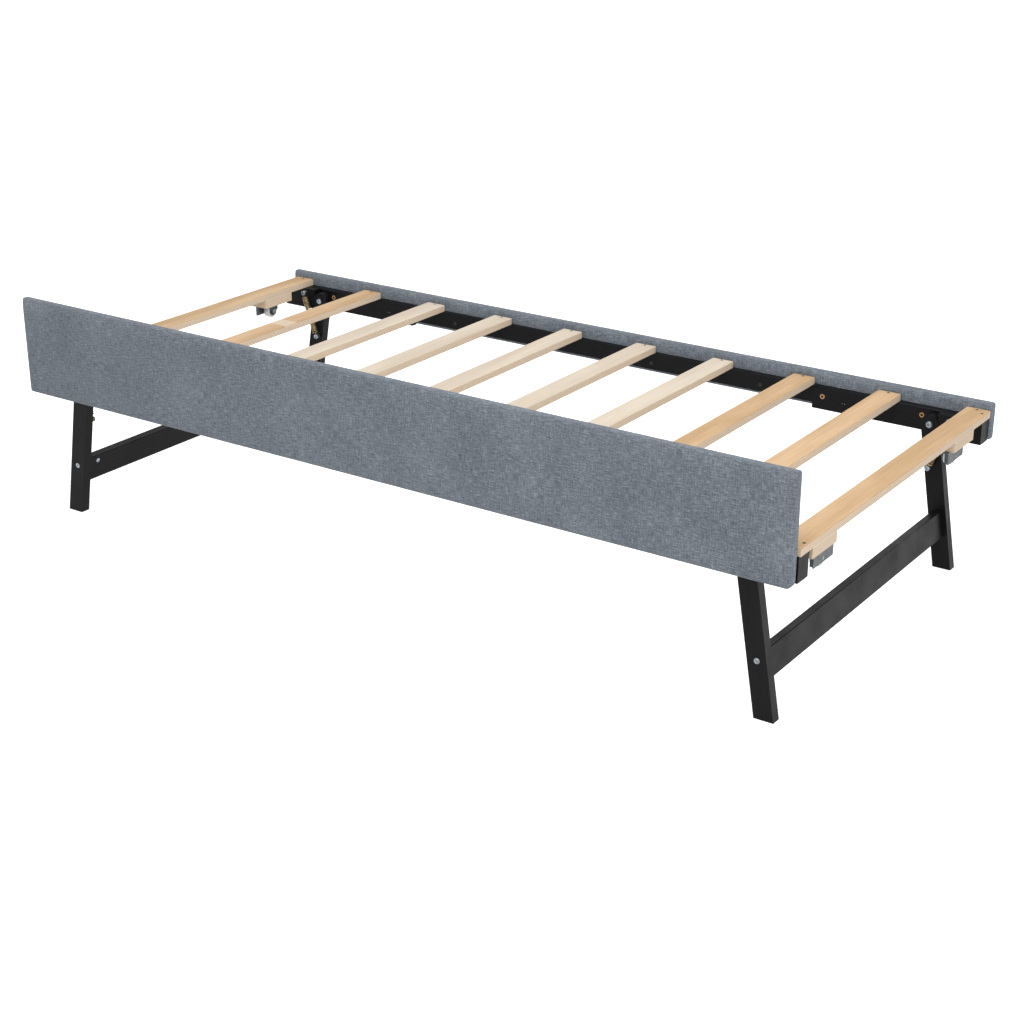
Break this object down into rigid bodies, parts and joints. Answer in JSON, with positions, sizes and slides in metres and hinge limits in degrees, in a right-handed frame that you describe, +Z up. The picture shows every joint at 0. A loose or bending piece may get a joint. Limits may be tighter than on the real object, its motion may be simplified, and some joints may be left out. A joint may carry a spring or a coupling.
{
  "type": "trundle bed",
  "caption": "Pop-up trundle bed: slatted deck between a tall and a low upholstered side panel, on folding spring-held leg frames with casters under the deck",
  "frame": {"origin": "on the floor, under the middle of the bed", "axes": "+X along the bed, -Y towards the tall front panel, +Z up"},
  "size_m": [1.907, 0.925, 0.504],
  "materials": {
    "upholstery": "blue-grey linen weave over foam",
    "panel_core": "plain plywood",
    "birch_slats": "bare birch plywood",
    "caster_block_ply": "bare plywood",
    "wheel_plastic": "milky tyre on a dark disc",
    "bracket_steel": "grey-blue plated steel",
    "spring_wire": "tan zinc",
    "dark_screws": "black oxide",
    "black_wood": "satin black lacquer",
    "zinc_steel": "bright zinc"
  },
  "bodies": {
    "bed": {"back_panel_board": "panel_core", "back_panel_upholstery": "upholstery", "back_rail": "black_wood", "caster_axles": "zinc_steel", "caster_blocks": "caster_block_ply", "caster_bracket_back_left": "bracket_steel", "caster_bracket_back_right": "bracket_steel", "caster_bracket_front_left": "bracket_steel", "caster_bracket_front_right": "bracket_steel", "caster_screws": "zinc_steel", "front_panel_board": "panel_core", "front_panel_upholstery": "upholstery", "front_rail": "black_wood", "leg_board_back_left": "black_wood", "leg_board_back_right": "black_wood", "leg_board_front_left": "black_wood", "leg_board_front_right": "black_wood", "leg_board_screws": "dark_screws", "pivot_bolts": "zinc_steel", "pivot_inserts": "zinc_steel", "pivot_washers": "zinc_steel", "rail_screws": "dark_screws", "slat_01": "birch_slats", "slat_02": "birch_slats", "slat_03": "birch_slats", "slat_04": "birch_slats", "slat_05": "birch_slats", "slat_06": "birch_slats", "slat_07": "birch_slats", "slat_08": "birch_slats", "slat_09": "birch_slats", "slat_10": "birch_slats", "slat_screws": "dark_screws", "spring_anchor_bolts": "zinc_steel", "staples": "zinc_steel", "stop_blocks": "black_wood"},
    "leg_frame_left": {"leg_front_left": "black_wood", "leg_back_left": "black_wood", "crossbar_left": "black_wood", "crossbar_bolts_left": "zinc_steel", "crossbar_nuts_left": "zinc_steel", "spring_leg_bolts_left": "zinc_steel"},
    "leg_frame_right": {"leg_front_right": "black_wood", "leg_back_right": "black_wood", "crossbar_right": "black_wood", "crossbar_bolts_right": "zinc_steel", "crossbar_nuts_right": "zinc_steel", "spring_leg_bolts_right": "zinc_steel"},
    "spring_front_left": {"spring_coil_front_left": "spring_wire"},
    "hook_front_left": {"spring_hook_front_left": "spring_wire"},
    "wheel_front_left": {"caster_wheel_front_left": "wheel_plastic"},
    "spring_front_right": {"spring_coil_front_right": "spring_wire"},
    "hook_front_right": {"spring_hook_front_right": "spring_wire"},
    "wheel_front_right": {"caster_wheel_front_right": "wheel_plastic"},
    "spring_back_left": {"spring_coil_back_left": "spring_wire"},
    "hook_back_left": {"spring_hook_back_left": "spring_wire"},
    "wheel_back_left": {"caster_wheel_back_left": "wheel_plastic"},
    "spring_back_right": {"spring_coil_back_right": "spring_wire"},
    "hook_back_right": {"spring_hook_back_right": "spring_wire"},
    "wheel_back_right": {"caster_wheel_back_right": "wheel_plastic"}
  },
  "joints": [
    {"name": "fold_left", "type": "hinge", "parent": "bed", "child": "leg_frame_left", "pos_m": [-0.832, 0, 0.317], "axis": [0, -1, 0], "range_deg": [0, 99.9]},
    {"name": "fold_right", "type": "hinge", "parent": "bed", "child": "leg_frame_right", "pos_m": [0.832, 0, 0.317], "axis": [0, 1, 0], "range_deg": [0, 99.9]},
    {"name": "swing_front_left", "type": "hinge", "parent": "bed", "child": "spring_front_left", "pos_m": [-0.877, -0.3922, 0.334], "axis": [0, -1, 0], "range_deg": [0, 67.77]},
    {"name": "stretch_front_left", "type": "slide", "parent": "spring_front_left", "child": "hook_front_left", "axis": [0.3211, 0, -0.947], "range_m": [0, 0.02201], "deforming": ["spring_coil_front_left", "spring_hook_front_left"]},
    {"name": "swing_front_right", "type": "hinge", "parent": "bed", "child": "spring_front_right", "pos_m": [0.877, -0.3922, 0.334], "axis": [0, 1, 0], "range_deg": [0, 67.77]},
    {"name": "stretch_front_right", "type": "slide", "parent": "spring_front_right", "child": "hook_front_right", "axis": [-0.3211, 0, -0.947], "range_m": [0, 0.02201], "deforming": ["spring_coil_front_right", "spring_hook_front_right"]},
    {"name": "swing_back_left", "type": "hinge", "parent": "bed", "child": "spring_back_left", "pos_m": [-0.877, 0.3922, 0.334], "axis": [0, -1, 0], "range_deg": [0, 67.77]},
    {"name": "stretch_back_left", "type": "slide", "parent": "spring_back_left", "child": "hook_back_left", "axis": [0.3211, 0, -0.947], "range_m": [0, 0.02201], "deforming": ["spring_coil_back_left", "spring_hook_back_left"]},
    {"name": "swing_back_right", "type": "hinge", "parent": "bed", "child": "spring_back_right", "pos_m": [0.877, 0.3922, 0.334], "axis": [0, 1, 0], "range_deg": [0, 67.77]},
    {"name": "stretch_back_right", "type": "slide", "parent": "spring_back_right", "child": "hook_back_right", "axis": [-0.3211, 0, -0.947], "range_m": [0, 0.02201], "deforming": ["spring_coil_back_right", "spring_hook_back_right"]},
    {"name": "roll_front_left", "type": "hinge", "parent": "bed", "child": "wheel_front_left", "pos_m": [-0.915, -0.308, 0.3022], "axis": [1, 0, 0], "continuous": true},
    {"name": "roll_front_right", "type": "hinge", "parent": "bed", "child": "wheel_front_right", "pos_m": [0.9295, -0.333, 0.3022], "axis": [1, 0, 0], "continuous": true},
    {"name": "roll_back_left", "type": "hinge", "parent": "bed", "child": "wheel_back_left", "pos_m": [-0.915, 0.3035, 0.3022], "axis": [1, 0, 0], "continuous": true},
    {"name": "roll_back_right", "type": "hinge", "parent": "bed", "child": "wheel_back_right", "pos_m": [0.925, 0.286, 0.3022], "axis": [1, 0, 0], "continuous": true}
  ],
  "couplings": [
    {"joint": "swing_front_left", "follows": "fold_left", "ratio": 0.67838},
    {"joint": "stretch_front_left", "follows": "fold_left", "m_per_rad": 0.012623},
    {"joint": "swing_front_right", "follows": "fold_right", "ratio": 0.67838},
    {"joint": "stretch_front_right", "follows": "fold_right", "m_per_rad": 0.012623},
    {"joint": "swing_back_left", "follows": "fold_left", "ratio": 0.67838},
    {"joint": "stretch_back_left", "follows": "fold_left", "m_per_rad": 0.012623},
    {"joint": "swing_back_right", "follows": "fold_right", "ratio": 0.67838},
    {"joint": "stretch_back_right", "follows": "fold_right", "m_per_rad": 0.012623}
  ]
}
